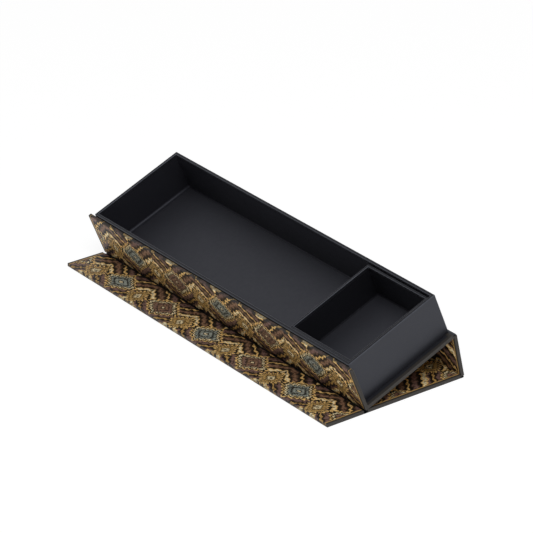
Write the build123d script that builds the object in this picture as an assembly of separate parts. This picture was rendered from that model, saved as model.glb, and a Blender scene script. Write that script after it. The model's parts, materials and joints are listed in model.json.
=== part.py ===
from build123d import *
from math import acos, atan2, cos, degrees, hypot, pi, sin
import os

# A hard pencil case of covered boards, open on a table. The cover is a chain of panels: a base with a front
# panel, both glued to a shallow tray, then a spine, a lid and a closing flap on paper hinges. Here the cover
# is folded back under the tray, and the spine props up the tray's far side as a sloping stand.
# Millimetres, +Z up, X along the case, the closing flap towards -Y, the lid flat on the table at Z = 0.

# Driving dimensions: the cover
case_length = 220.0  # each cover panel, end to end
cover_board = 1.6  # grey board inside a panel
paper = 0.15  # cover paper, black paper and liner alike
end_overhang = 3.8  # cover past the tray at each end
turn_in = 8.0  # cover paper turned over on to a panel's inner face
liner_inset = 2.0  # liner sheet back from a panel's edge
mitre_slit = 0.2  # slit between two turn-ins at a corner
edge_round = 0.35  # wrapped edge of a panel; past 2.3 papers its board's corners would show
fixed_joint = 0.3  # paper pressed in between the base board and the front board
front_drop = 0.9  # front panel's top below the tray's rim
flap_reach = 22.3  # closing flap, from its groove to its free edge

# Driving dimensions: the hinges and the folds
closing_gap = 0.4  # between the closed cover and what it closes on
hinge_depth = 0.4  # fold line below the inner face of a panel
spine_setback = 0.8  # fold line to the spine panel's edge, at both of its hinges
flap_groove = 2.4  # groove between the lid and the flap, past where the foot stands in it
fold_clearance = 0.06  # folded-back spine to the panels' ends
crease_clearance = 0.05  # hinge strip's free half to its crease
foot_reach = 1.4  # the tray's front edge past the lid's edge that it rests on, in the groove
contact_gap = 0.05  # from the base to the lid's edge

# Driving dimensions: the tray and the loose inner box
tray_width = 56.8  # outside, front wall to back wall
tray_height = 24.8  # outside, underside to rim
tray_board = 1.4
tray_card = 0.9  # lining card on the floor
tray_corner = 0.35  # wrapped outer edge, within 2.3 papers too
box_length = 46.5  # outside, along the tray
box_board = 1.1
box_card = 1.7
box_corner = 0.3
box_gap = 0.5  # inner box to each wall of the tray
box_rim_drop = 1.2  # inner box's rim below the tray's
slide_gap = 0.05  # under the inner box
turn_down = 9.0  # wrap turned over a rim, down the inside
under_turn = 7.0  # wrap turned in under a floor
lining_drop = 1.5  # lining's top below a rim
card_gap = 0.3  # round a floor card

# Driving dimensions: the magnets
magnet_diameter = 10.0
magnet_thickness = 1.0
magnet_from_end = 38.0  # centre to a panel's end
magnet_height = 12.5  # centre above the tray's underside, with the case closed
magnet_fit = 0.05  # round a magnet in its pocket

# Layers of a panel, from its inner face outwards: liner, turn-in, board, cover paper
cover = cover_board + 3 * paper
half_case = case_length / 2
tray_length = case_length - 2 * end_overhang
tray_wall = tray_board + 3 * paper
tray_floor = tray_board + 2 * paper + tray_card
crease_radius = 2 * paper

# Fold lines, as (y, z) in the tray's own frame: y from the front wall back, z up from the underside. The
# spine's inner face lies off its fold lines, so that it clears the tray's back wall when the case is closed
# and its printed face meets the ends of the base and the lid when the cover is folded back.
spine_offset = (cover - closing_gap) / 2
spine_line = (tray_width + closing_gap + spine_offset, -hinge_depth)
flap_line = (-cover - closing_gap - hinge_depth, tray_height + closing_gap + hinge_depth)
spine_span = flap_line[1] - spine_line[1]
lid_span = spine_line[0] - flap_line[0]

# Standing pose, as a triangle of fold lines: the lid lies flat, the spine stands on the lid's fold line, and
# the base rests on the middle of the lid's rounded edge, so that the front edge under it stands in the groove.
edge_arm = (
    spine_line[0] + cover - foot_reach,
    spine_line[1] + cover + contact_gap + edge_round,
)
edge_rest = (flap_groove / 2 + edge_round - lid_span, cover - edge_round - hinge_depth)
tray_arm = hypot(*edge_arm)
lid_arm = hypot(*edge_rest)
corner_angle = acos(
    (spine_span**2 + lid_arm**2 - tray_arm**2) / (2 * spine_span * lid_arm)
)
spine_angle = atan2(edge_rest[1], edge_rest[0]) - corner_angle
spine_lean = spine_angle - pi / 2
spine_top = (spine_span * cos(spine_angle), spine_span * sin(spine_angle))
arm_angle = atan2(spine_top[1] - edge_rest[1], spine_top[0] - edge_rest[0])
tray_tilt = arm_angle - atan2(edge_arm[1], edge_arm[0])


def end_setback(excess):
    """Fold line to the end of a panel that the spine folds back past, for the angle past a right angle."""
    beside = cover - spine_offset + (cover - hinge_depth) * sin(excess)
    return beside / cos(excess) + fold_clearance


base_end = spine_line[0] - end_setback(tray_tilt - spine_lean)
lid_start = end_setback(spine_lean)
lid_end = lid_span - flap_groove / 2
front_top = tray_height - front_drop

# The whole stands with its middle over the origin
near_reach = lid_span + flap_groove / 2 + flap_reach
foot = spine_setback + edge_round
far_reach = (
    (spine_offset - paper - edge_round) * cos(spine_lean)
    - foot * sin(spine_lean)
    + edge_round
)
lid_line_y = (near_reach - far_reach) / 2

# Where each frame stands. In a panel's frame +Y runs away from its fold line and +Z is its inner side.
tray_place = (
    Pos(0, lid_line_y + spine_top[0], hinge_depth + spine_top[1])
    * Rot(degrees(tray_tilt), 0, 0)
    * Pos(0, -spine_line[0], -spine_line[1])
)
spine_place = Pos(0, lid_line_y + spine_top[0], hinge_depth + spine_top[1]) * Rot(
    degrees(spine_lean) - 90, 0, 0
)
lid_place = Pos(0, lid_line_y, hinge_depth) * Rot(180, 0, 0)
flap_place = Pos(0, lid_line_y - lid_span, hinge_depth) * Rot(180, 0, 0)


def block(x0, x1, y0, y1, z0, z1):
    """A plain box between two corners."""
    middle = ((x0 + x1) / 2, (y0 + y1) / 2, (z0 + z1) / 2)
    return Pos(*middle) * Box(x1 - x0, y1 - y0, z1 - z0)


def sheet(half, y0, y1, z0, z1):
    """A box of that half length, about the middle of the case."""
    return block(-half, half, y0, y1, z0, z1)


def along_case(profile, half):
    """A (y, z) profile drawn out along X, to both sides of the middle."""
    solid = extrude(Plane.YZ * profile, amount=2 * half, dir=(1, 0, 0))
    return Pos(-half, 0, 0) * solid


def mitre_slits(y0, y1, low, corners):
    """Slits at 45 degrees between the turn-ins that lie above low, at those (x side, y side) corners."""
    # Each runs from just inside the rounded edge to just past the turn-ins
    reach = turn_in - edge_round
    middle = edge_round + mitre_slit + reach / 2
    slits = []
    for x_side, y_side in corners:
        edge = y1 if y_side > 0 else y0
        x = x_side * (half_case - middle)
        y = edge - y_side * middle
        slit = Box(reach * 2**0.5, mitre_slit, paper)
        turn = Rot(0, 0, 45 * x_side * y_side)
        slits.append(Pos(x, y, low + paper / 2) * turn * slit)
    return slits


def magnet_discs(distance, low, radius):
    """A left and a right disc that far from a panel's fold line, their undersides at low."""
    reach = half_case - magnet_from_end
    disc = Pos(0, distance, low + magnet_thickness / 2) * Cylinder(
        radius, magnet_thickness
    )
    return {"left": Pos(-reach, 0, 0) * disc, "right": Pos(reach, 0, 0) * disc}


def hinged_panel(start, end, inner_face):
    """Board, cover paper and liner of one flat panel, from start to end beyond its fold line."""
    under_liner = inner_face - paper
    under_turn_in = under_liner - paper
    outer_face = inner_face - cover
    wrapped = sheet(half_case, start, end, outer_face, under_liner)
    wrapped = fillet(wrapped.edges(), edge_round)
    board = sheet(
        half_case - paper, start + paper, end - paper, outer_face + paper, under_turn_in
    )
    window = sheet(
        half_case - turn_in, start + turn_in, end - turn_in, under_turn_in, under_liner
    )
    face = sheet(
        half_case - liner_inset,
        start + liner_inset,
        end - liner_inset,
        under_liner,
        inner_face,
    )
    corners = [(x, y) for x in (-1, 1) for y in (-1, 1)]
    slits = mitre_slits(start, end, under_turn_in, corners)
    return {
        "board": board,
        "cover_paper": wrapped - board - window - slits,
        "liner": face + window,
    }


def crease_half(setback):
    """The half of a paper hinge that stays with the first panel: from its edge to the rounded crease."""
    web = Pos(-setback / 2, 0) * Rectangle(setback, 2 * paper)
    return along_case(web + Circle(crease_radius), half_case - liner_inset)


def tail_half(setback):
    """The half that turns with the second panel: hollowed to fit round the crease, then out to the edge."""
    web = Pos(setback / 2, 0) * Rectangle(setback, 2 * paper)
    bore = Circle(crease_radius + crease_clearance)
    return along_case(web - bore, half_case - liner_inset)


def fixed_cover():
    """The base under the tray and the front panel before it, wrapped in one sheet round their shared corner."""
    # Seen from the end, the wrapped pair is an L with its inner corner just off the tray's lower front edge
    corner_points = [
        (-cover, -cover),
        (base_end, -cover),
        (base_end, -paper),
        (-paper, -paper),
        (-paper, front_top),
        (-cover, front_top),
    ]
    pair = along_case(Polygon(*corner_points, align=None), half_case)
    inner_edge = pair.edges().sort_by_distance((0, -paper, -paper))[0]
    wrapped = fillet([edge for edge in pair.edges() if edge != inner_edge], edge_round)

    board_half = half_case - paper
    outer_board = -cover + paper
    inner_board = -2 * paper
    base_board = sheet(
        board_half,
        inner_board + fixed_joint,
        base_end - paper,
        outer_board,
        inner_board,
    )
    front_board = sheet(
        board_half, outer_board, inner_board, outer_board, front_top - paper
    )

    # The space inside the turn-ins, which the liner fills, then the liner's own faces
    window_half = half_case - turn_in
    window = sheet(
        window_half, inner_board, base_end - turn_in, inner_board, -paper
    ) + sheet(window_half, inner_board, -paper, inner_board, front_top - turn_in)
    face_half = half_case - liner_inset
    faces = sheet(face_half, -paper, base_end - liner_inset, -paper, 0) + sheet(
        face_half, -paper, 0, -paper, front_top - liner_inset
    )

    far_corners = [(-1, 1), (1, 1)]
    slits = mitre_slits(0, base_end, inner_board, far_corners)
    slits += [
        front_place * s for s in mitre_slits(0, front_top, inner_board, far_corners)
    ]
    radius = magnet_diameter / 2
    discs = magnet_discs(magnet_height, outer_board, radius)
    pockets = magnet_discs(magnet_height, outer_board, radius + magnet_fit)
    magnets = {
        f"front_panel_{side}_magnet": front_place * disc for side, disc in discs.items()
    }
    return magnets | {
        "base_board": base_board,
        "front_panel_board": front_board - [front_place * p for p in pockets.values()],
        "base_and_front_cover_paper": wrapped
        - base_board
        - front_board
        - window
        - slits,
        "base_and_front_liner": faces + window,
    }


def rigid_tray(length, width, height, board, card, corner):
    """A tray of five boards, wrapped outside in one paper that turns in over the rim, and lined inside."""
    half = length / 2
    inner = paper + board  # inner faces of the boards, in from the outside
    lined = inner + 2 * paper

    def inset(depth, low, high):
        return sheet(half - depth, depth, width - depth, low, high)

    outside = inset(0, 0, height)
    rim = outside.edges().group_by(Axis.Z)[-1]
    outside = fillet(outside.edges().filter_by(Axis.Z) + rim, corner)
    turned_down = inset(inner, height - turn_down, height - paper) - inset(
        inner + paper, height - turn_down, height
    )
    wrap = (
        outside
        - inset(paper, paper, height - paper)
        - inset(inner + paper, height - paper, height)
        - inset(under_turn, 0, paper)
    ) + turned_down
    lining = (
        inset(inner, inner, height - lining_drop)
        - inset(lined, inner + paper, height)
        - turned_down
    )
    wall_top = height - paper
    end_wall = block(-half + paper, -half + inner, inner, width - inner, inner, wall_top)
    return {
        "floor_board": inset(paper, paper, inner),
        "front_wall_board": sheet(half - paper, paper, inner, inner, wall_top),
        "back_wall_board": sheet(
            half - paper, width - inner, width - paper, inner, wall_top
        ),
        "left_wall_board": end_wall,
        "right_wall_board": mirror(end_wall, about=Plane.YZ),
        "outer_wrap": wrap,
        "lining": lining,
        "floor_card": inset(lined + card_gap, inner + paper, inner + paper + card),
    }


def inner_box():
    """The loose box at the tray's right end, clear of the tray's walls and standing on its floor card."""
    beside = tray_wall + box_gap
    above = tray_floor + slide_gap
    parts = rigid_tray(
        box_length,
        tray_width - 2 * beside,
        tray_height - box_rim_drop - above,
        box_board,
        box_card,
        box_corner,
    )
    place = Pos(tray_length / 2 - beside - box_length / 2, beside, above)
    return {name: place * solid for name, solid in parts.items()}


def spine():
    """The spine panel, with a fold line at each of its long edges."""
    parts = hinged_panel(spine_setback, spine_span - spine_setback, spine_offset)
    parts = {f"spine_{name}": solid for name, solid in parts.items()}
    parts["spine_hinge_tail"] = tail_half(spine_setback)
    parts["lid_hinge_crease"] = Pos(0, spine_span, 0) * crease_half(spine_setback)
    return parts


def lid():
    """The lid panel, from the spine's far fold line to the groove before the flap."""
    parts = hinged_panel(lid_start, lid_end, hinge_depth)
    parts = {f"lid_{name}": solid for name, solid in parts.items()}
    parts["lid_hinge_tail"] = tail_half(lid_start)
    parts["flap_hinge_crease"] = Pos(0, lid_span, 0) * crease_half(flap_groove / 2)
    return parts


def flap():
    """The closing flap, with the magnets that meet the front panel's when the case is closed."""
    start = flap_groove / 2
    parts = hinged_panel(start, start + flap_reach, hinge_depth)
    parts = {f"flap_{name}": solid for name, solid in parts.items()}
    distance = flap_line[1] - magnet_height
    low = hinge_depth - 2 * paper - magnet_thickness
    radius = magnet_diameter / 2
    parts["flap_board"] -= magnet_discs(distance, low, radius + magnet_fit).values()
    for side, disc in magnet_discs(distance, low, radius).items():
        parts[f"flap_{side}_magnet"] = disc
    parts["flap_hinge_tail"] = tail_half(start)
    return parts


front_place = Plane(origin=(0, 0, 0), x_dir=(-1, 0, 0), z_dir=(0, 1, 0)).location
tray_shell = rigid_tray(
    tray_length, tray_width, tray_height, tray_board, tray_card, tray_corner
)
base_hinge = Pos(0, *spine_line) * crease_half(spine_line[0] - base_end)
tray_parts = {f"tray_{name}": solid for name, solid in tray_shell.items()}
tray_parts |= fixed_cover() | {"spine_hinge_crease": base_hinge}
box_parts = {f"inner_box_{name}": solid for name, solid in inner_box().items()}

os.makedirs("parts", exist_ok=True)
for place, parts in (
    (tray_place, tray_parts | box_parts),
    (spine_place, spine()),
    (lid_place, lid()),
    (flap_place, flap()),
):
    for name, solid in parts.items():
        export_step(place * solid, f"parts/{name}.step")

print(f"tray tilt {degrees(tray_tilt):.2f} degrees, spine lean {degrees(spine_lean):.2f} degrees")
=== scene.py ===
"""A hard pencil case of paper-covered board, its cover folded back under it as a sloping stand.

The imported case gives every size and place. Here its papers are modelled as sheets that wrap their boards,
its hinges as strips that bend, and everything gets its finish, a pale floor, soft light and a camera.
"""

import json
import logging
import math
from dataclasses import dataclass
from enum import Enum
from typing import Iterable, Sequence, Union

import bmesh
import bpy
from mathutils import Matrix, Vector


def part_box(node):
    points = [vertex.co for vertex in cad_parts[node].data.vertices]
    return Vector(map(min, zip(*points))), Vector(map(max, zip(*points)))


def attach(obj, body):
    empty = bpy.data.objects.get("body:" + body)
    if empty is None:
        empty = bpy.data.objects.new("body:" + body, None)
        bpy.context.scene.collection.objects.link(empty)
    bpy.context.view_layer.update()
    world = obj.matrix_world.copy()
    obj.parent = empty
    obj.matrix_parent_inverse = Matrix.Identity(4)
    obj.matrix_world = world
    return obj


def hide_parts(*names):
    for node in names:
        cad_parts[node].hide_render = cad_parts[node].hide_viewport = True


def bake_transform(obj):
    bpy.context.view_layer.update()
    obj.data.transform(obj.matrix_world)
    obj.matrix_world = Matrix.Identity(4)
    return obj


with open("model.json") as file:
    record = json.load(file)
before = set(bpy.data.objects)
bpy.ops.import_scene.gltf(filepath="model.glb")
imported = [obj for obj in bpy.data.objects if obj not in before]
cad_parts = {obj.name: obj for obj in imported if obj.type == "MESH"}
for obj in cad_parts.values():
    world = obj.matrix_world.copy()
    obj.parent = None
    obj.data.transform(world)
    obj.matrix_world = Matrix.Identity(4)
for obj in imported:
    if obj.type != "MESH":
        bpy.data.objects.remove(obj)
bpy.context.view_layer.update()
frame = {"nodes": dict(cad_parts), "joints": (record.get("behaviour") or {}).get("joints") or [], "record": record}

LOG = logging.getLogger("pencil_case")
MM = 0.001

# What counts as touching, as looking straight one way (a share of the normal), and as a square corner
TOUCH = 0.001 * MM
STRAIGHT = 0.999
SQUARE = math.radians(60)

Y_WAY = Vector((0, 1, 0))
Z_WAY = Vector((0, 0, 1))

Pair = tuple[float, float]
Colour = tuple[float, float, float, float]
Stop = tuple[float, Colour]
Socket = bpy.types.NodeSocket
Input = Union[float, Socket]
Material = bpy.types.Material
Shape = bmesh.types.BMesh
Face = bmesh.types.BMFace
Edge = bmesh.types.BMEdge
Corner = bmesh.types.BMVert

WHITE: Colour = (1.0, 1.0, 1.0, 1.0)


class Body(Enum):
    """The rigid bodies of the case."""

    TRAY = "tray"
    INNER_BOX = "inner_box"
    SPINE = "spine"
    LID = "lid"
    FLAP = "flap"


class Slot(Enum):
    """The material slots of the record."""

    PRINTED_PAPER = "printed_paper"
    WRAP_PAPER = "wrap_paper"
    LINING_PAPER = "lining_paper"
    LINER_PAPER = "liner_paper"
    HINGE_PAPER = "hinge_paper"
    COVER_BOARD = "cover_board"
    TRAY_BOARD = "tray_board"
    FLOOR_CARD = "floor_card"
    MAGNET = "magnet"


class TurnIn(Enum):
    """Which way a stretch of a wrapped sheet is turned over its board."""

    NONE = "outer face"
    ACROSS = "over a long edge"
    ALONG = "over a short end"


def screen(red: int, green: int, blue: int) -> Colour:
    """A colour as a screen shows it, in linear light.

    Args:
        red: Red, 0 to 255.
        green: Green, 0 to 255.
        blue: Blue, 0 to 255.

    Returns:
        Red, green, blue and alpha in linear light.
    """
    parts = [value / 255 for value in (red, green, blue)]
    light = [p / 12.92 if p <= 0.04045 else ((p + 0.055) / 1.055) ** 2.4 for p in parts]
    return light[0], light[1], light[2], 1.0


class NodeSketch:
    """A node tree, with short ways to add and join its nodes."""

    def __init__(self, owner: Union[Material, bpy.types.World]) -> None:
        """Starts with an empty tree.

        Args:
            owner: The material or world that the tree belongs to.
        """
        owner.use_nodes = True
        self.tree = owner.node_tree
        self.tree.nodes.clear()

    def feed(self, socket: Socket, value: object) -> None:
        """Joins a socket to another, or sets its value.

        Args:
            socket: The input socket.
            value: An output socket, a number or a colour.
        """
        if isinstance(value, Socket):
            self.tree.links.new(value, socket)
        else:
            socket.default_value = value

    def add(self, kind: str, *values: object, **named: object) -> bpy.types.Node:
        """Adds a node.

        Args:
            kind: The node's type, without the ShaderNode before it.
            *values: What its first inputs are fed with, in order.
            **named: Its attributes, in small letters, and what its other inputs are fed with, by their
                names with underscores for the spaces.

        Returns:
            The node.
        """
        node = self.tree.nodes.new("ShaderNode" + kind)
        for name, value in named.items():
            if name.islower():
                setattr(node, name, value)
            else:
                self.feed(node.inputs[name.replace("_", " ")], value)
        for socket, value in zip(node.inputs, values):
            self.feed(socket, value)
        return node

    def math(self, operation: str, *values: Input) -> Socket:
        """The result of a Math node's operation on some values."""
        return self.add("Math", *values, operation=operation).outputs[0]

    def spread(self, value: Input, low: float, high: float) -> Socket:
        """A value from 0 to 1, spread between a low and a high one."""
        return self.math("MULTIPLY_ADD", value, high - low, low)

    def noise(self, place: Socket, scale: float, detail: float) -> Socket:
        """Smooth noise from 0 to 1, with so many lumps per unit of the place that it reads."""
        return self.add("TexNoise", Vector=place, Scale=scale, Detail=detail).outputs["Fac"]

    def bump(self, height: Input, depth: float) -> Socket:
        """A surface normal, rippled by a height from 0 to 1 to a depth in metres."""
        return self.add("Bump", Strength=1.0, Distance=depth, Height=height).outputs[0]

    def object_place(self) -> Socket:
        """Object coordinates, which are the row frame at rest, in metres."""
        return self.add("TexCoord").outputs["Object"]

    def marked(self, name: str) -> Socket:
        """The share that a mark on the mesh gives, from 0 to 1."""
        return self.add("Attribute", attribute_name=name).outputs["Fac"]

    def mix(self, share: Input, low: object, high: object, blend: str = "MIX") -> Socket:
        """A blend of two colours.

        Args:
            share: The share of the second colour.
            low: The first colour, or its socket.
            high: The second colour, or its socket.
            blend: The blend mode.

        Returns:
            The blended colour.
        """
        node = self.add("Mix", data_type="RGBA", blend_type=blend, Factor=share)
        self.feed(node.inputs[6], low)
        self.feed(node.inputs[7], high)
        return node.outputs[2]

    def ramp(self, value: Input, stops: Sequence[Stop], smooth: bool = False) -> Socket:
        """A colour picked along a row of stops.

        Args:
            value: The place along the row, 0 to 1.
            stops: Each stop's place and colour.
            smooth: Whether colours run into each other.

        Returns:
            The colour.
        """
        node = self.add("ValToRGB", value)
        row = node.color_ramp
        row.interpolation = "LINEAR" if smooth else "CONSTANT"
        for index, (place, colour) in enumerate(stops):
            stop = row.elements[index] if index < 2 else row.elements.new(place)
            stop.position = place
            stop.color = colour
        return node.outputs[0]


class MaterialSketch(NodeSketch):
    """A new material's node tree."""

    def __init__(self, name: str) -> None:
        """Starts an empty material with this name."""
        self.material = bpy.data.materials.new(name)
        super().__init__(self.material)

    def finish(self, **inputs: object) -> Material:
        """Joins the shader.

        Args:
            **inputs: What its inputs are fed with, by their names with underscores for the spaces.

        Returns:
            The material.
        """
        shader = self.add("BsdfPrincipled", **inputs)
        self.add("OutputMaterial", shader.outputs[0])
        return self.material


@dataclass(frozen=True)
class BlackPaper:
    """Black covering paper with a fine grain; its rounded edges are paler with wear and a painted highlight.

    The grain and the patches are so many to a metre. A pair of numbers is what noise spreads between.
    """

    name: str
    ground: Colour = screen(20, 20, 23)
    cloud: Colour = screen(29, 29, 32)
    clouding: Pair = (-0.5, 1.5)
    rubbed_and_highlight: Colour = screen(54, 56, 62)
    rubbing_and_highlight: Pair = (0.2, 1.1)
    grain: float = 2600.0
    grains_to_fibre: float = 6.0
    patches: float = 60.0
    detail: float = 3.0
    fibre_detail: float = 4.0
    grain_depth: float = 0.035 * MM
    roughness: Pair = (0.34, 0.46)
    gloss: float = 0.52
    glint: Colour = (0.8, 0.84, 1.0, 1.0)

    def material(self) -> Material:
        """Mixes the finish.

        Returns:
            The material.
        """
        sketch = MaterialSketch(self.name)
        place = sketch.object_place()
        fine = sketch.noise(place, self.grain, self.detail)
        broad = sketch.noise(place, self.patches, self.detail)
        fibres = sketch.noise(place, self.grain / self.grains_to_fibre, self.fibre_detail)
        tone = sketch.math("ADD", sketch.math("MULTIPLY", fine, 0.5), sketch.math("MULTIPLY", broad, 0.5))
        colour = sketch.mix(sketch.spread(tone, *self.clouding), self.ground, self.cloud)
        # Rounded edges turn paler: partly rubbed wear, partly a painted highlight
        rub_and_highlight = sketch.math("MULTIPLY", sketch.marked("wear_and_highlight"), sketch.spread(fibres, *self.rubbing_and_highlight))
        normal = sketch.bump(sketch.math("ADD", fine, fibres), self.grain_depth)
        return sketch.finish(Base_Color=sketch.mix(rub_and_highlight, colour, self.rubbed_and_highlight), Normal=normal,
                             Roughness=sketch.spread(fibres, *self.roughness),
                             Specular_IOR_Level=self.gloss, Specular_Tint=self.glint)


@dataclass(frozen=True)
class GreyBoard:
    """Pressed grey board, flecked with so many fibres to a metre."""

    name: str
    ground: Colour = screen(150, 144, 134)
    fleck: Colour = screen(104, 98, 90)
    fleck_end: float = 0.42
    fibres: float = 900.0
    detail: float = 5.0
    depth: float = 0.06 * MM
    roughness: Pair = (0.8, 0.95)

    def material(self) -> Material:
        """Mixes the finish.

        Returns:
            The material.
        """
        sketch = MaterialSketch(self.name)
        fibres = sketch.noise(sketch.object_place(), self.fibres, self.detail)
        flecks = sketch.ramp(fibres, [(0.0, self.fleck), (self.fleck_end, self.ground)], True)
        return sketch.finish(Base_Color=flecks, Roughness=sketch.spread(fibres, *self.roughness),
                             Normal=sketch.bump(fibres, self.depth))


@dataclass(frozen=True)
class NickelPlate:
    """Bright plate with so many fine turned marks to a metre."""

    name: str
    plate: Colour = screen(196, 194, 190)
    marks: float = 1800.0
    detail: float = 3.0
    depth: float = 0.01 * MM
    roughness: Pair = (0.18, 0.36)

    def material(self) -> Material:
        """Mixes the finish.

        Returns:
            The material.
        """
        sketch = MaterialSketch(self.name)
        marks = sketch.noise(sketch.object_place(), self.marks, self.detail)
        return sketch.finish(Base_Color=self.plate, Roughness=sketch.spread(marks, *self.roughness),
                             Normal=sketch.bump(marks, self.depth), Metallic=1.0)


@dataclass(frozen=True)
class FlameStitchPrint:
    """A printed sheet of flame-stitch zigzags with lozenges and stars between them.

    Lengths are in millimetres on the flat sheet, but for half_length, in metres. The sheet's map runs along
    the case and across its panels. The shift and the rows are shares of a repeat. A fray is noise, as its
    lumps to a millimetre and how far it strays.
    """

    name: str
    half_length: float
    margin: float = 1.4
    line: float = 0.6
    zigzag: float = 37.5
    steepness: float = 0.72
    shift: float = 0.19
    feather: float = 3.6
    barb: float = 0.75
    edge_fray: Pair = (0.8, 0.8)
    peak_fray: Pair = (0.1, 3.0)
    motif_fray: float = 0.9
    lozenge: Pair = (11.5, 8.6)
    lozenge_row: float = 0.61
    lozenge_scallop: float = 0.22
    star: Pair = (5.2, 5.6)
    star_row: float = 0.69
    star_scallop: float = 0.9
    points: float = 9.0
    ink: tuple[Stop, Stop] = ((0.36, screen(118, 108, 104)), (0.52, screen(255, 253, 250)))
    ink_patches: float = 0.75
    ink_detail: float = 4.0
    grain: float = 2400.0
    grain_depth: float = 0.02 * MM
    detail: float = 3.0
    roughness: Pair = (0.42, 0.56)
    gloss: float = 0.2
    rub_and_highlight_share: float = 0.05
    rubbed_and_highlight: Colour = screen(150, 146, 140)
    ground: Colour = screen(20, 13, 10)
    # The black margin's ink, lifted towards grey as a painted sheen
    margin_ink_and_sheen: Colour = screen(56, 53, 50)
    gold: Colour = screen(248, 208, 134)
    ochre: Colour = screen(196, 158, 94)
    cream: Colour = screen(255, 240, 196)
    mauve: Colour = screen(126, 98, 90)
    rust: Colour = screen(142, 110, 88)
    umber: Colour = screen(78, 60, 48)
    teal: Colour = screen(160, 168, 160)
    slate: Colour = screen(66, 72, 70)

    @property
    def stripes(self) -> list[tuple[float, Colour]]:
        """The stripes of one repeat of the zigzag.

        Returns:
            Each stripe's width up the sheet, and its colour.
        """
        g, o, k, c, u, m = self.gold, self.ochre, self.ground, self.cream, self.umber, self.mauve
        return [
            (0.9, g), (1.6, c), (0.9, g), (2.0, k), (0.8, u), (2.6, m), (0.8, u), (1.6, k),
            (1.4, g), (1.5, k), (0.8, u), (2.2, self.rust), (0.8, u), (1.5, k), (0.8, g), (1.4, c),
            (0.8, g), (1.9, k), (2.9, m), (1.5, k), (1.4, o), (1.7, k), (1.5, m),
        ]

    @property
    def repeat(self) -> float:
        """The height of one repeat."""
        return sum(width for width, _ in self.stripes)

    @property
    def bands(self) -> list[Stop]:
        """The stripes as stops of a ramp.

        Returns:
            Where each stripe starts, as a share of the repeat, and its colour.
        """
        stops, height = [], 0.0
        for width, colour in self.stripes:
            stops.append((height / self.repeat, colour))
            height += width
        return stops

    @property
    def star_rings(self) -> list[Stop]:
        """The rings of a star, from its middle outwards, as stops of a ramp."""
        return [(0.0, self.ground), (0.12, self.cream), (0.28, self.ground), (0.38, self.ochre),
                (0.56, self.ground), (0.66, self.gold), (0.84, self.ground)]

    def rings(self, heart: Colour, shade: Colour) -> list[Stop]:
        """The rings of a lozenge, from its middle outwards.

        Args:
            heart: The colour of its heart.
            shade: The colour round that.

        Returns:
            The rings, as stops of a ramp.
        """
        return [(0.0, self.cream), (0.08, self.ground), (0.15, heart), (0.34, self.ground), (0.41, shade),
                (0.5, heart), (0.6, self.ground), (0.69, self.cream), (0.78, self.ground),
                (0.89, self.gold)]

    def fray(self, sketch: NodeSketch, flat: Input, lumps: float, reach: float) -> Socket:
        """Noise with so many lumps to a millimetre, which strays so far either way."""
        return sketch.spread(sketch.noise(flat, lumps, self.detail), -reach, reach)

    def reach(self, sketch: NodeSketch, side: Input, level: Input, size: Pair, scallop: float) -> Socket:
        """How far out a point lies in a motif with scalloped edges, where its edge is 1.

        Args:
            sketch: The material.
            side: The way along the sheet from the motif's middle.
            level: The way across the sheet from there.
            size: Half its length each way.
            scallop: How deep the scallops are, as a share of its size.

        Returns:
            The reach.
        """
        flat = sketch.math("DIVIDE", sketch.math("ABSOLUTE", side), size[0])
        tall = sketch.math("DIVIDE", sketch.math("ABSOLUTE", level), size[1])
        turn = sketch.math("ARCTAN2", tall, flat)
        wave = sketch.math("ABSOLUTE", sketch.math("SINE", sketch.math("MULTIPLY", turn, self.points)))
        edge = sketch.spread(wave, 1.0, 1.0 + scallop)
        return sketch.math("DIVIDE", sketch.math("ADD", flat, tall), edge)

    def level(self, sketch: NodeSketch, across: Input, row: float) -> Socket:
        """The way across the sheet from the nearest row of motifs.

        Args:
            sketch: The material.
            across: The way across the sheet.
            row: Where the row lies in each repeat.

        Returns:
            The way from it, up to half a repeat.
        """
        turns = sketch.math("ADD", sketch.math("DIVIDE", across, self.repeat), 0.5 - row)
        off = sketch.math("SUBTRACT", sketch.math("FRACT", turns), 0.5)
        return sketch.math("MULTIPLY", off, self.repeat)

    def picture(self, sketch: NodeSketch, flat: Input, along: Input, across: Input) -> Socket:
        """The zigzags with their lozenges and stars.

        Args:
            sketch: The material.
            flat: The place on the sheet.
            along: Its way along the sheet.
            across: Its way across.

        Returns:
            The colours.
        """
        half = self.zigzag / 2
        ragged = self.fray(sketch, flat, *self.edge_fray)
        u = sketch.math("ADD", along, self.fray(sketch, flat, *self.peak_fray))
        peak = sketch.math("PINGPONG", u, half)
        barbs = sketch.math("PINGPONG", u, self.feather / 2)
        climb = sketch.math("MULTIPLY_ADD", peak, self.steepness, sketch.math("ADD", across, ragged))
        climb = sketch.math("MULTIPLY_ADD", barbs, self.barb, climb)
        turns = sketch.math("SUBTRACT", sketch.math("DIVIDE", climb, self.repeat), self.shift)
        colours = sketch.ramp(sketch.math("FRACT", turns), self.bands)

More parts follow.
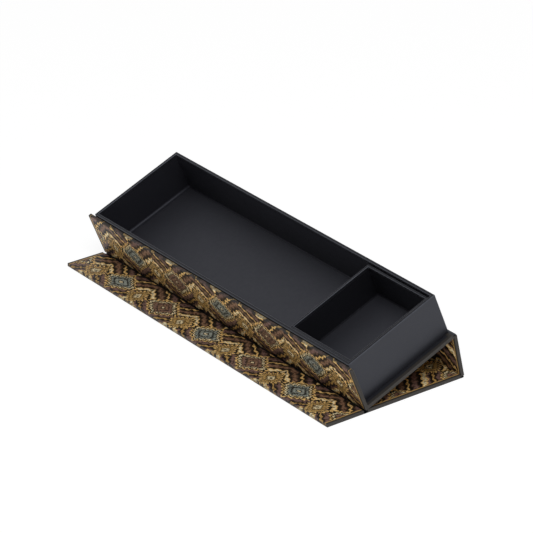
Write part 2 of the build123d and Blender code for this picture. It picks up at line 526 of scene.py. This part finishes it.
        # Lozenges hang under the peaks, every other one cool, and gold stars stand in the hollows
        wobble = sketch.math("MULTIPLY", ragged, self.motif_fray)
        under = sketch.math("ADD", self.level(sketch, across, self.lozenge_row), wobble)
        side = sketch.math("ADD", peak, wobble)
        reach = self.reach(sketch, side, under, self.lozenge, self.lozenge_scallop)
        place = sketch.math("FLOOR", sketch.math("DIVIDE", sketch.math("ADD", u, half), self.zigzag))
        warm = sketch.math("PINGPONG", place, 1.0)
        hearts = sketch.mix(warm, sketch.ramp(reach, self.rings(self.teal, self.slate)),
                            sketch.ramp(reach, self.rings(self.rust, self.mauve)))
        colours = sketch.mix(sketch.math("LESS_THAN", reach, 1.0), colours, hearts)
        over = sketch.math("ADD", self.level(sketch, across, self.star_row), wobble)
        side = sketch.math("SUBTRACT", half, peak)
        reach = self.reach(sketch, side, over, self.star, self.star_scallop)
        stars = sketch.ramp(reach, self.star_rings)
        return sketch.mix(sketch.math("LESS_THAN", reach, 1.0), colours, stars)

    def material(self) -> Material:
        """Mixes the finish.

        Returns:
            The material.
        """
        sketch = MaterialSketch(self.name)
        sheet = sketch.add("UVMap", uv_map="Print").outputs[0]
        flat = sketch.add("VectorMath", sheet, operation="SCALE", Scale=1 / MM).outputs[0]
        along, across = sketch.add("SeparateXYZ", flat).outputs[:2]
        picture = self.picture(sketch, flat, along, across)

        # Ink lies unevenly
        patches = sketch.noise(flat, self.ink_patches, self.ink_detail)
        picture = sketch.mix(1.0, picture, sketch.ramp(patches, self.ink, True), "MULTIPLY")

        # A thin ochre line and a black margin run along both short ends, and what is marked bare is black
        from_end = sketch.math("SUBTRACT", self.half_length / MM, sketch.math("ABSOLUTE", along))
        lined = sketch.math("LESS_THAN", from_end, self.margin + self.line)
        picture = sketch.mix(lined, picture, self.ochre)
        in_margin = sketch.math("LESS_THAN", from_end, self.margin)
        bare = sketch.math("MAXIMUM", in_margin, sketch.marked("bare"))
        # The black margin ink carries a painted sheen
        picture = sketch.mix(bare, picture, self.margin_ink_and_sheen)

        # Rounded edges are a little paler: rubbed wear and a painted highlight
        rub_and_highlight = sketch.math("MULTIPLY", sketch.marked("wear_and_highlight"), self.rub_and_highlight_share)
        picture = sketch.mix(rub_and_highlight, picture, self.rubbed_and_highlight)
        fine = sketch.noise(sketch.object_place(), self.grain, self.detail)
        return sketch.finish(Base_Color=picture, Roughness=sketch.spread(fine, *self.roughness),
                             Normal=sketch.bump(fine, self.grain_depth), Specular_IOR_Level=self.gloss)


@dataclass(frozen=True)
class PaleFloor:
    """A plain pale floor, lit from within like a light table, and seen as white with a soft shadow.

    The shade and the glow light the case, and the bounce adds to that on dull surfaces. The camera sees a
    share of the shade, lifted towards white.
    """

    name: str
    shade: float = 0.9
    glow: float = 0.56
    bounce: float = 0.22
    shadow_share: float = 0.3
    lift: float = 0.88

    def material(self) -> Material:
        """Mixes the finish.

        Returns:
            The material.
        """
        sketch = MaterialSketch(self.name)
        path = sketch.add("LightPath").outputs
        looks = []
        for share, glow in ((1.0, self.glow), (self.shadow_share, self.lift)):
            grey = self.shade * share
            lit = sketch.add("BsdfDiffuse", (grey, grey, grey, 1.0))
            strength = sketch.math("MULTIPLY_ADD", path["Is Diffuse Ray"], self.bounce, glow)
            light = sketch.add("Emission", WHITE, strength)
            looks.append(sketch.add("AddShader", lit.outputs[0], light.outputs[0]).outputs[0])
        seen = sketch.add("MixShader", path["Is Camera Ray"], *looks)
        sketch.add("OutputMaterial", seen.outputs[0])
        return sketch.material


@dataclass(frozen=True)
class Stand:
    """A flat frame on the case: X along it, +Y away from a fold line, +Z its panel's inner side."""

    origin: Vector
    turn: float

    @property
    def matrix(self) -> Matrix:
        """From this frame to the row's."""
        return Matrix.Translation(self.origin) @ Matrix.Rotation(self.turn, 4, "X")

    def span(self, node: str) -> tuple[Vector, Vector]:
        """The corners of a CAD node, in this frame.

        Args:
            node: The node's name.

        Returns:
            The lowest and the highest corner.
        """
        back = self.matrix.inverted()
        points = [back @ vert.co for vert in frame["nodes"][node].data.vertices]
        low = Vector(min(p[axis] for p in points) for axis in range(3))
        high = Vector(max(p[axis] for p in points) for axis in range(3))
        return low, high


@dataclass(frozen=True)
class StandingCase:
    """Where each panel's frame stands at rest, read from the joints."""

    tray: Stand
    spine: Stand
    lid: Stand
    flap: Stand

    @classmethod
    def from_joints(cls, joints: Iterable[dict]) -> "StandingCase":
        """Works out the frames. Both folded-back hinges open past a half turn, by the case's own angles.

        Args:
            joints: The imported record's joints.

        Returns:
            The frames.
        """
        by_name = {joint["name"]: joint for joint in joints}
        spine_turn = math.radians(by_name["spine_hinge"]["range_deg"][1])
        lid_turn = math.radians(by_name["lid_hinge"]["range_deg"][1])
        lean = lid_turn - math.pi
        tilt = spine_turn - math.pi + lean
        spine_line, lid_line, flap_line = (
            Vector(by_name[name]["pos_m"]) for name in ("spine_hinge", "lid_hinge", "flap_hinge"))
        return cls(
            tray=Stand(spine_line, tilt),
            spine=Stand(spine_line, lean - math.pi / 2),
            lid=Stand(lid_line, math.pi),
            flap=Stand(flap_line, math.pi),
        )


def add_object(name: str, data: bpy.types.ID) -> bpy.types.Object:
    """Puts a new object in the scene.

    Args:
        name: Its name.
        data: Its mesh, lamp or camera.

    Returns:
        The object.
    """
    made = bpy.data.objects.new(name, data)
    bpy.context.scene.collection.objects.link(made)
    return made


def add_mesh(name: str, shape: Shape, finishes: Iterable[Material]) -> bpy.types.Object:
    """Puts a shape in the scene.

    Args:
        name: The name of its object and mesh.
        shape: The shape, which is used up.
        finishes: Its materials.

    Returns:
        The object.
    """
    mesh = bpy.data.meshes.new(name)
    shape.to_mesh(mesh)
    shape.free()
    for finish in finishes:
        mesh.materials.append(finish)
    return add_object(name, mesh)


@dataclass
class Piece:
    """A modelled piece, which the log is told of.

    A thickness makes an open sheet into paper, inwards, or both ways where it is centred.
    """

    name: str
    slot: Slot
    replaces: tuple[str, ...]
    finishes: Sequence[Material]
    thickness: float = 0.0
    centred: bool = False

    def make(self, shape: Shape, stand: Stand) -> bpy.types.Object:
        """Turns a shape into an object in the row's frame.

        Args:
            shape: The shape, in a panel's frame. It's used up.
            stand: That panel's frame.

        Returns:
            The object, at the origin, with its place in its mesh.
        """
        for face in shape.faces:
            face.smooth = True
        shape.transform(stand.matrix)
        made = add_mesh(self.name, shape, self.finishes)
        if self.thickness:
            skin = made.modifiers.new("Paper", "SOLIDIFY")
            skin.thickness = self.thickness
            skin.offset = 0.0 if self.centred else -1.0
            skin.use_even_offset = True
        shade = made.modifiers.new("Shade", "WEIGHTED_NORMAL")
        shade.keep_sharp = True
        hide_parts(*self.replaces)
        LOG.info("%s: %d faces, for %s", self.name, len(made.data.polygons), ", ".join(self.replaces))
        return made


def block(low: Vector, high: Vector) -> Shape:
    """A plain box between two corners.

    Args:
        low: The lowest corner.
        high: The highest corner.

    Returns:
        The box.
    """
    shape = bmesh.new()
    bmesh.ops.create_cube(shape, size=1.0)
    bmesh.ops.scale(shape, vec=high - low, verts=shape.verts)
    bmesh.ops.translate(shape, vec=(low + high) / 2, verts=shape.verts)
    return shape


def facing(shape: Shape, way: Vector) -> Face:
    """The largest face that looks straight one way.

    Args:
        shape: The shape.
        way: The way.

    Returns:
        The face.
    """
    shape.normal_update()
    found = [face for face in shape.faces if face.normal.dot(way) > STRAIGHT]
    return max(found, key=lambda face: face.calc_area())


def square_edges(shape: Shape) -> list[Edge]:
    """The edges where two faces meet at about a right angle."""
    return [edge for edge in shape.edges if edge.is_manifold and edge.calc_face_angle() > SQUARE]


def round_edges(shape: Shape, edges: Iterable[Edge], radius: float, facets: int) -> None:
    """Rounds some edges, with so many facets round each."""
    bmesh.ops.bevel(shape, geom=list(edges), offset=radius, segments=facets, profile=0.5, affect="EDGES",
                    material=-1)


def inset(shape: Shape, faces: Sequence[Face], width: float) -> None:
    """Shrinks some faces, and leaves a border of some width round them."""
    bmesh.ops.inset_region(shape, faces=faces, thickness=width, use_even_offset=True, use_boundary=True)


def draw_out(shape: Shape, grown: dict, way: Vector) -> list[Corner]:
    """Draws out what an extrusion has grown.

    Args:
        shape: The shape that it's on.
        grown: What the extrusion gives.
        way: How far, and which way.

    Returns:
        The new corners.
    """
    corners = [item for item in grown["geom"] if isinstance(item, Corner)]
    bmesh.ops.translate(shape, vec=way, verts=corners)
    return corners


def mark(shape: Shape, name: str, shares: Iterable[float]) -> None:
    """Marks the faces with shares that a finish reads.

    Args:
        shape: The shape.
        name: The mark's name.
        shares: Each face's share, 0 to 1.
    """
    layer = shape.loops.layers.float.new(name)
    for face, share in zip(shape.faces, shares):
        for loop in face.loops:
            loop[layer] = share


def mark_wear_and_highlight(shape: Shape) -> None:
    """Marks the rounded faces of a shape that is still square to its frame, for rubbed wear and a painted
    highlight.
    """
    shape.normal_update()
    mark(shape, "wear_and_highlight", [float(max(map(abs, face.normal)) < STRAIGHT) for face in shape.faces])


@dataclass
class WrappedSheet:
    """How a printed sheet runs round a board: its edge rounding, its turn-ins and its print's map.

    A lean is the share of a face's normal that points a way, at least.
    """

    rounding: float = 0.35 * MM
    turn_in: float = 8.0 * MM
    paper: float = 0.14 * MM
    facets: int = 4
    printed_lean: float = 0.5
    free_lean: float = 0.3
    free_reach: float = 0.5 * MM
    free_edge_darkening: float = 0.6

    def way_round(self, inwards: float, depth: float, thick: float) -> float:
        """How far a point lies along the sheet, past the plane of the edge that it's near.

        Args:
            inwards: The point's distance in from that plane.
            depth: Its distance behind the outer face.
            thick: The wrapped board's thickness.

        Returns:
            The way along the sheet, negative on the outer face.
        """
        radius = self.rounding
        bend = math.pi / 2 * radius
        if depth <= radius:
            if inwards >= radius:
                return -inwards
            return radius * (math.atan2(radius - inwards, max(radius - depth, 0.0)) - 1)
        if depth <= thick - radius:
            return bend + depth - 2 * radius
        if inwards >= radius:
            return 2 * bend + thick + inwards - 4 * radius
        last = radius * math.atan2(depth - thick + radius, max(radius - inwards, 0.0))
        return bend + thick - 3 * radius + last

    def unfold(self, place: float, half: float, depth: float, thick: float) -> float:
        """The place on the flat sheet, from the board's middle, of a point turned over its edge."""
        return math.copysign(half + self.way_round(half - abs(place), depth, thick), place)

    def open_window(self, shape: Shape, faces: Sequence[Face]) -> None:
        """Leaves only the turned-in border of a wrapped board's inner faces."""
        inset(shape, faces, self.turn_in - self.rounding)
        bmesh.ops.delete(shape, geom=faces, context="FACES")

    def mark_bare(self, shape: Shape, *outer: Vector, free: Vector = Vector()) -> None:
        """Marks the sheet's edges and turn-ins, which its print leaves black; a free edge's outer face is darkened
        part-way.

        Args:
            shape: The sheet, in its panel's frame.
            *outer: The ways that its printed faces look.
            free: The way that its free edge looks, where it has one.
        """
        shape.normal_update()
        last = max(vert.co.dot(free) for vert in shape.verts)
        shares = []
        for face in shape.faces:
            printed = max(face.normal.dot(way) for way in outer) > self.printed_lean
            from_last = last - face.calc_center_median().dot(free)
            on_edge = face.normal.dot(free) > self.free_lean and from_last < self.free_reach
            # A free edge's face is darkened part-way towards the margin ink
            shares.append(0.0 if printed else self.free_edge_darkening if on_edge else 1.0)
        mark(shape, "bare", shares)


@dataclass
class HingedPanel:
    """A cover panel that turns on a paper hinge: its printed sheet goes round the board it rides with."""

    name: str
    body: Body
    stand: Stand
    sheet: WrappedSheet
    print_start: float

    def add_print_map(self, shape: Shape, low: Vector, high: Vector) -> None:
        """Gives the sheet its flat map, with the turned-over parts unfolded.

        Args:
            shape: The sheet.
            low: The wrapped board's lowest corner.
            high: Its highest corner.
        """
        layer = shape.loops.layers.uv.new("Print")
        middle, half = (low + high) / 2, (high - low) / 2
        thick = high.z - low.z
        for face in shape.faces:
            centre = face.calc_center_median() - middle
            turned = TurnIn.NONE
            if centre.z + half.z > TOUCH:
                near_end = half.x - abs(centre.x) < half.y - abs(centre.y)
                turned = TurnIn.ALONG if near_end else TurnIn.ACROSS
            for loop in face.loops:
                u, v, z = loop.vert.co - middle
                if turned is TurnIn.ALONG:
                    u = self.sheet.unfold(u, half.x, z + half.z, thick)
                if turned is TurnIn.ACROSS:
                    v = self.sheet.unfold(v, half.y, z + half.z, thick)
                loop[layer].uv = (u, self.print_start + half.y + v)

    def build(self, finish: Material) -> float:
        """Models the panel's printed sheet.

        Args:
            finish: Its printed finish.

        Returns:
            How far across the print the next panel starts.
        """
        node = f"{self.body.value}_cover_paper"
        low, high = self.stand.span(node)
        shape = block(low, high)
        round_edges(shape, shape.edges, self.sheet.rounding, self.sheet.facets)
        self.sheet.open_window(shape, [facing(shape, Z_WAY)])
        self.add_print_map(shape, low, high)
        mark_wear_and_highlight(shape)
        self.sheet.mark_bare(shape, -Z_WAY, free=Y_WAY if self.body is Body.FLAP else Vector())
        piece = Piece(self.name, Slot.PRINTED_PAPER, (node,), [finish], self.sheet.paper)
        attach(piece.make(shape, self.stand), self.body.value)
        return self.print_start + high.y - low.y


@dataclass
class FixedCover:
    """The base under the tray and the front panel before it, in one printed sheet round their corner."""

    stand: Stand
    sheet: WrappedSheet
    node: str = "base_and_front_cover_paper"

    def add_print_map(self, shape: Shape, low: Vector, high: Vector, thick: float) -> None:
        """Gives the sheet its flat map: up the front panel one way, and back along the base the other.

        Args:
            shape: The sheet.
            low: The pair's lowest corner.
            high: Its highest corner.
            thick: A wrapped board's thickness.
        """
        layer = shape.loops.layers.uv.new("Print")
        size = high - low
        half = size.x / 2
        for face in shape.faces:
            spot = face.calc_center_median() - low
            front = spot.z > spot.y
            through, away = (1, 2) if front else (2, 1)
            turned = TurnIn.NONE
            if spot[through] > TOUCH:
                near_end = half - abs(spot.x + low.x) < size[away] - spot[away]
                turned = TurnIn.ALONG if near_end else TurnIn.ACROSS
            for loop in face.loops:
                spot = loop.vert.co - low
                u, v, depth = loop.vert.co.x, spot[away], spot[through]
                if turned is TurnIn.ALONG:
                    u = self.sheet.unfold(u, half, depth, thick)
                if turned is TurnIn.ACROSS:
                    v = size[away] + self.sheet.way_round(size[away] - v, depth, thick)
                loop[layer].uv = (u, -v if front else v)

    def build(self, finish: Material) -> float:
        """Models the printed sheet.

        Args:
            finish: Its printed finish.

        Returns:
            How far across the print the next panel starts.
        """
        low, high = self.stand.span(self.node)
        board_low, board_high = self.stand.span("front_panel_board")
        thick = board_high.y - low.y + (board_low.y - low.y)

        # The wrapped pair as seen from its left end, from the outer corner on
        outline = [(low.y, low.z), (high.y, low.z), (high.y, low.z + thick),
                   (low.y + thick, low.z + thick), (low.y + thick, high.z), (low.y, high.z)]
        shape = bmesh.new()
        end = shape.faces.new([shape.verts.new((low.x, y, z)) for y, z in outline])
        grown = bmesh.ops.extrude_face_region(shape, geom=[end])
        draw_out(shape, grown, Vector((high.x - low.x, 0, 0)))
        bmesh.ops.recalc_face_normals(shape, faces=shape.faces)
        valley = Vector((0, low.y + thick, low.z + thick))
        outer = [edge for edge in shape.edges
                 if (sum((vert.co for vert in edge.verts), Vector()) / 2 - valley).length > TOUCH]
        round_edges(shape, outer, self.sheet.rounding, self.sheet.facets)
        self.sheet.open_window(shape, [facing(shape, Z_WAY), facing(shape, Y_WAY)])
        self.add_print_map(shape, low, high, thick)
        mark_wear_and_highlight(shape)
        self.sheet.mark_bare(shape, -Z_WAY, -Y_WAY, free=Z_WAY)
        piece = Piece("base_and_front_print", Slot.PRINTED_PAPER, (self.node,), [finish], self.sheet.paper)
        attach(piece.make(shape, self.stand), Body.TRAY.value)
        return high.y - low.y


@dataclass
class CoveredTray:
    """A tray of boards: black paper wrapped over its rim, a lining inside, and a card on its floor.

    The foot is the lining's border on the card. The card's upper finish is on the faces whose normals point
    up by its lean or more.
    """

    prefix: str
    body: Body
    stand: Stand
    rounding: float
    end_fold: float
    side_fold: float = 0.3 * MM
    turn_down: float = 9.0 * MM
    under_turn: float = 7.0 * MM
    paper: float = 0.15 * MM
    skin: float = 0.14 * MM
    foot: float = 0.8 * MM
    card_edge: float = 0.3 * MM
    card_lean: float = 0.95
    facets: int = 4

    def node(self, part: str) -> str:
        """The name of the CAD node of one part of this tray."""
        return f"{self.prefix}_{part}"

    def wrap(self, finish: Material, flat: Material) -> None:
        """Models the outer wrap: four walls, a border underneath, the rim and a turned-down strip inside.

        Args:
            finish: Its finish.
            flat: The darker, duller finish of the rim's flat, between its rounded edges: painted shade.
        """
        low, high = self.stand.span(self.node("outer_wrap"))
        rim = self.stand.span(self.node("front_wall_board"))[1].y - low.y + self.paper
        shape = block(low, high)
        top, under = facing(shape, Z_WAY), facing(shape, -Z_WAY)
        inset(shape, [top], rim)
        inset(shape, [under], self.under_turn)
        mouth = list(top.edges)
        bmesh.ops.delete(shape, geom=[top, under], context="FACES_ONLY")
        draw_out(shape, bmesh.ops.extrude_edge_only(shape, edges=mouth), -Z_WAY * self.turn_down)
        bmesh.ops.recalc_face_normals(shape, faces=shape.faces)
        if facing(shape, Y_WAY).calc_center_median().y < (low.y + high.y) / 2:
            bmesh.ops.reverse_faces(shape, faces=shape.faces)
        round_edges(shape, square_edges(shape), self.rounding, self.facets)
        mark_wear_and_highlight(shape)
        for part in shape.faces:
            part.material_index = 1 if part.normal.z > STRAIGHT else 0
        piece = Piece(f"{self.prefix}_wrap", Slot.WRAP_PAPER, (self.node("outer_wrap"),), [finish, flat],
                      self.skin)
        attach(piece.make(shape, self.stand), self.body.value)

    def lining(self, finish: Material) -> None:
        """Models the lining: the walls inside, softly folded at the ends' feet, and a border over the card.

        Args:
            finish: Its finish.
        """
        low, high = self.stand.span(self.node("lining"))
        card_top = self.stand.span(self.node("floor_card"))[1].z
        wall = Vector((2 * self.paper, 2 * self.paper, 0))
        shape = block(Vector((low.x, low.y, card_top + self.skin)) + wall, high - wall)
        top, floor = facing(shape, Z_WAY), facing(shape, -Z_WAY)
        folds = [edge for edge in floor.edges if abs(edge.verts[0].co.y - edge.verts[1].co.y) > TOUCH]
        bmesh.ops.delete(shape, geom=[top], context="FACES_ONLY")
        bmesh.ops.reverse_faces(shape, faces=shape.faces)
        round_edges(shape, folds, self.end_fold, 2 * self.facets)
        round_edges(shape, square_edges(shape), self.side_fold, self.facets)
        floor = facing(shape, Z_WAY)
        inset(shape, [floor], self.foot)
        bmesh.ops.delete(shape, geom=[floor], context="FACES")
        piece = Piece(f"{self.prefix}_lining_paper", Slot.LINING_PAPER, (self.node("lining"),), [finish],
                      self.skin)
        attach(piece.make(shape, self.stand), self.body.value)

    def card(self, face: Material, edge: Material) -> None:
        """Models the floor card, black above, with a paler rounded edge: its cut edge and a painted highlight.

        Args:
            face: Its upper finish.
            edge: The finish of its rounded edge: the cut edge's colour with a painted highlight.
        """
        low, high = self.stand.span(self.node("floor_card"))
        shape = block(low, high)
        under = facing(shape, -Z_WAY)
        loose = [line for line in shape.edges if under not in line.link_faces]
        round_edges(shape, loose, self.card_edge, self.facets)
        shape.normal_update()
        for part in shape.faces:
            part.material_index = 0 if part.normal.z > self.card_lean else 1
        piece = Piece(f"{self.prefix}_card", Slot.FLOOR_CARD, (self.node("floor_card"),), [face, edge])
        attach(piece.make(shape, self.stand), self.body.value)


@dataclass
class PaperHinge:
    """A black strip that joins two panels and bends at their fold line."""

    name: str
    first: Body
    second: Body
    before: Stand
    after: Stand
    bend: float = 0.25 * MM
    thickness: float = 0.3 * MM
    steps: int = 10
    past_ends: float = 1.9 * MM
    least_turn: float = 0.01

    @staticmethod
    def draw_on(shape: Shape, line: Edge, way: Vector) -> Edge:
        """Draws the strip on from its last edge, this far and this way, and gives the new last edge."""
        first, last = draw_out(shape, bmesh.ops.extrude_edge_only(shape, edges=[line]), way)
        return next(edge for edge in first.link_edges if edge.other_vert(first) == last)

    def build(self, finish: Material) -> None:
        """Models the strip at rest, bent at the fold line between its two bodies.

        Args:
            finish: Its finish.
        """
        crease, tail = f"{self.name}_crease", f"{self.name}_tail"
        low, high = self.before.span(crease)
        start, half = -low.y, high.x + self.past_ends
        end = self.after.span(tail)[1].y
        turn = math.remainder(self.after.turn - self.before.turn, 2 * math.pi)
        bent = abs(turn) > self.least_turn
        tangent = self.bend * math.tan(abs(turn) / 2) if bent else self.bend
        onward = Vector((0, math.cos(turn), math.sin(turn)))
        shape = bmesh.new()
        line = shape.edges.new([shape.verts.new((x, -start, 0)) for x in (-half, half)])
        line = self.draw_on(shape, line, Y_WAY * (start - tangent))
        if bent:
            centre = (0, -tangent, math.copysign(self.bend, turn))
            spun = bmesh.ops.spin(shape, geom=[*line.verts, line], cent=centre, axis=(1, 0, 0), angle=turn,
                                  steps=self.steps)
            line = next(item for item in spun["geom_last"] if isinstance(item, Edge))
        else:
            line = self.draw_on(shape, line, Y_WAY * 2 * tangent)
        self.draw_on(shape, line, onward * (end - tangent))
        bmesh.ops.recalc_face_normals(shape, faces=shape.faces)
        piece = Piece(f"{self.name}_strip", Slot.HINGE_PAPER, (crease, tail), [finish], self.thickness,
                      centred=True)
        strip = piece.make(shape, self.before)
        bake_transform(strip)


class PencilCase:
    """The whole case, sub-assembly by sub-assembly."""

    def __init__(self) -> None:
        """Reads where the case stands, and mixes its finishes."""
        self.standing = StandingCase.from_joints(frame["joints"])
        low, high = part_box("lid_cover_paper")
        self.print = FlameStitchPrint("flame_stitch_print", (high.x - low.x) / 2).material()
        self.wrap = BlackPaper("black_wrap_paper").material()
        # The rim's flat: the wrap paper made darker, as painted shade
        self.rim = BlackPaper("black_rim_paper_painted_shade", screen(14, 14, 16), screen(20, 20, 23),
                              gloss=0.2).material()
        self.lining = BlackPaper("black_lining_paper", screen(32, 32, 37), screen(40, 40, 45),
                                 gloss=0.2).material()
        self.box_lining = BlackPaper("black_box_lining", screen(22, 22, 25), screen(28, 28, 32),
                                     gloss=0.2).material()
        self.liner = BlackPaper("black_liner_paper").material()
        self.floor = BlackPaper("black_floor_paper", screen(28, 28, 32), screen(36, 36, 40),
                                roughness=(0.48, 0.62), gloss=0.44).material()
        self.hinge = BlackPaper("black_hinge_paper", screen(14, 14, 15), screen(20, 20, 21)).material()
        # The card's cut edge, lightened further as a painted highlight
        self.cut_edge_and_highlight = BlackPaper("cut_card_edge_and_highlight", screen(70, 70, 73), screen(86, 86, 89)).material()
        self.board = GreyBoard("grey_board").material()
        self.nickel = NickelPlate("nickel_plate").material()

    def dress_carried_over(self) -> None:
        """Gives each CAD node its finish, by its slot in the record."""
        finishes = {
            Slot.PRINTED_PAPER: self.print, Slot.WRAP_PAPER: self.wrap, Slot.LINING_PAPER: self.lining,
            Slot.LINER_PAPER: self.liner, Slot.HINGE_PAPER: self.hinge, Slot.COVER_BOARD: self.board,
            Slot.TRAY_BOARD: self.board, Slot.FLOOR_CARD: self.floor, Slot.MAGNET: self.nickel,
        }
        for part in frame["record"]["subparts"]:
            node = frame["nodes"][part["node"]]
            node.data.materials.clear()
            node.data.materials.append(finishes[Slot(part["material_slot"])])

    def build_cover(self) -> None:
        """Models the printed sheets of the base, front, spine, lid and flap."""
        sheet = WrappedSheet()
        start = FixedCover(self.standing.tray, sheet).build(self.print)
        for body, stand in ((Body.SPINE, self.standing.spine), (Body.LID, self.standing.lid),
                            (Body.FLAP, self.standing.flap)):
            start = HingedPanel(f"{body.value}_print", body, stand, sheet, start).build(self.print)

    def build_trays(self) -> None:
        """Models the tray and the loose inner box."""
        stand = self.standing.tray
        tray = CoveredTray("tray", Body.TRAY, stand, rounding=0.35 * MM, end_fold=1.3 * MM)
        box = CoveredTray("inner_box", Body.INNER_BOX, stand, rounding=0.3 * MM, end_fold=0.12 * MM,
                          side_fold=0.12 * MM)
        for part, lining in ((tray, self.lining), (box, self.box_lining)):
            part.wrap(self.wrap, self.rim)
            part.lining(lining)
            part.card(self.floor, self.cut_edge_and_highlight)

    def build_hinges(self) -> None:
        """Models the three paper hinges."""
        standing = self.standing
        at_lid_line = Stand(standing.lid.origin, standing.spine.turn)
        hinges = (
            PaperHinge("spine_hinge", Body.TRAY, Body.SPINE, standing.tray, standing.spine),
            PaperHinge("lid_hinge", Body.SPINE, Body.LID, at_lid_line, standing.lid),
            PaperHinge("flap_hinge", Body.LID, Body.FLAP, standing.flap, standing.flap),
        )
        for hinge in hinges:
            hinge.build(self.hinge)

    def build(self) -> None:
        """Models and dresses everything."""
        self.dress_carried_over()
        self.build_cover()
        self.build_trays()
        self.build_hinges()


@dataclass(frozen=True)
class Softbox:
    """A large soft lamp."""

    name: str
    place: tuple[float, float, float]
    size: float
    power: float

    def hang(self, aim: Vector) -> None:
        """Hangs the lamp.

        Args:
            aim: What it points at.
        """
        lamp = bpy.data.lights.new(self.name, "AREA")
        lamp.shape = "SQUARE"
        lamp.size = self.size
        lamp.energy = self.power
        made = add_object(self.name, lamp)
        made.location = self.place
        made.rotation_mode = "QUATERNION"
        made.rotation_quaternion = (aim - Vector(self.place)).to_track_quat("-Z", "Y")


@dataclass(frozen=True)
class StudioCamera:
    """A long lens, well back from the case."""

    azimuth: float = 52.97
    elevation: float = 25.91
    roll: float = -0.07
    lens: float = 221.6
    sensor: float = 36.0
    clip: Pair = (0.05, 50.0)
    distance: float = 1.6462
    aim: tuple[float, float, float] = (-0.00091, 0.00536, 0.02814)

    def place(self) -> None:
        """Sets the scene's camera."""
        data = bpy.data.cameras.new("camera")
        data.lens = self.lens
        data.sensor_width = self.sensor
        data.clip_start, data.clip_end = self.clip
        made = add_object("camera", data)
        turn = Matrix.Rotation(math.radians(self.azimuth), 4, "Z")
        tip = Matrix.Rotation(math.radians(90 - self.elevation), 4, "X")
        spin = Matrix.Rotation(math.radians(self.roll), 4, "Z")
        back = Matrix.Translation((0, 0, self.distance))
        made.matrix_world = Matrix.Translation(self.aim) @ turn @ tip @ spin @ back
        bpy.context.scene.camera = made


@dataclass(frozen=True)
class Studio:
    """The pale floor, the soft light and the camera."""

    floor_size: float = 12.0
    floor_gap: float = 0.05 * MM
    daylight: float = 0.14
    softbox: Softbox = Softbox("top_light", place=(1.05, -0.6, 1.9), size=1.3, power=24.5)
    camera: StudioCamera = StudioCamera()

    def lay_floor(self) -> None:
        """Lays the floor just under the case."""
        shape = bmesh.new()
        bmesh.ops.create_grid(shape, x_segments=1, y_segments=1, size=self.floor_size / 2)
        bmesh.ops.translate(shape, vec=-Z_WAY * self.floor_gap, verts=shape.verts)
        add_mesh("floor", shape, [PaleFloor("pale_floor").material()])

    def light(self) -> None:
        """Sets the sky, which the camera and gloss see as white and which lights less, and the lamp."""
        world = bpy.data.worlds.new("studio")
        bpy.context.scene.world = world
        sketch = NodeSketch(world)
        path = sketch.add("LightPath").outputs
        seen = sketch.math("MAXIMUM", path["Is Camera Ray"], path["Is Glossy Ray"])
        skies = [sketch.add("Background", WHITE, power).outputs[0] for power in (self.daylight, 1.0)]
        sky = sketch.add("MixShader", seen, *skies)
        sketch.add("OutputWorld", sky.outputs[0])
        self.softbox.hang(Vector(self.camera.aim))

    def set_up(self) -> None:
        """Lays, lights and frames the scene."""
        bpy.context.scene.view_settings.view_transform = "Standard"
        self.lay_floor()
        self.light()
        self.camera.place()


def main() -> None:
    """Builds the case, then the studio round it."""
    logging.basicConfig(level=logging.INFO, format="%(name)s: %(message)s")
    PencilCase().build()
    Studio().set_up()


if __name__ == "__main__":
    main()
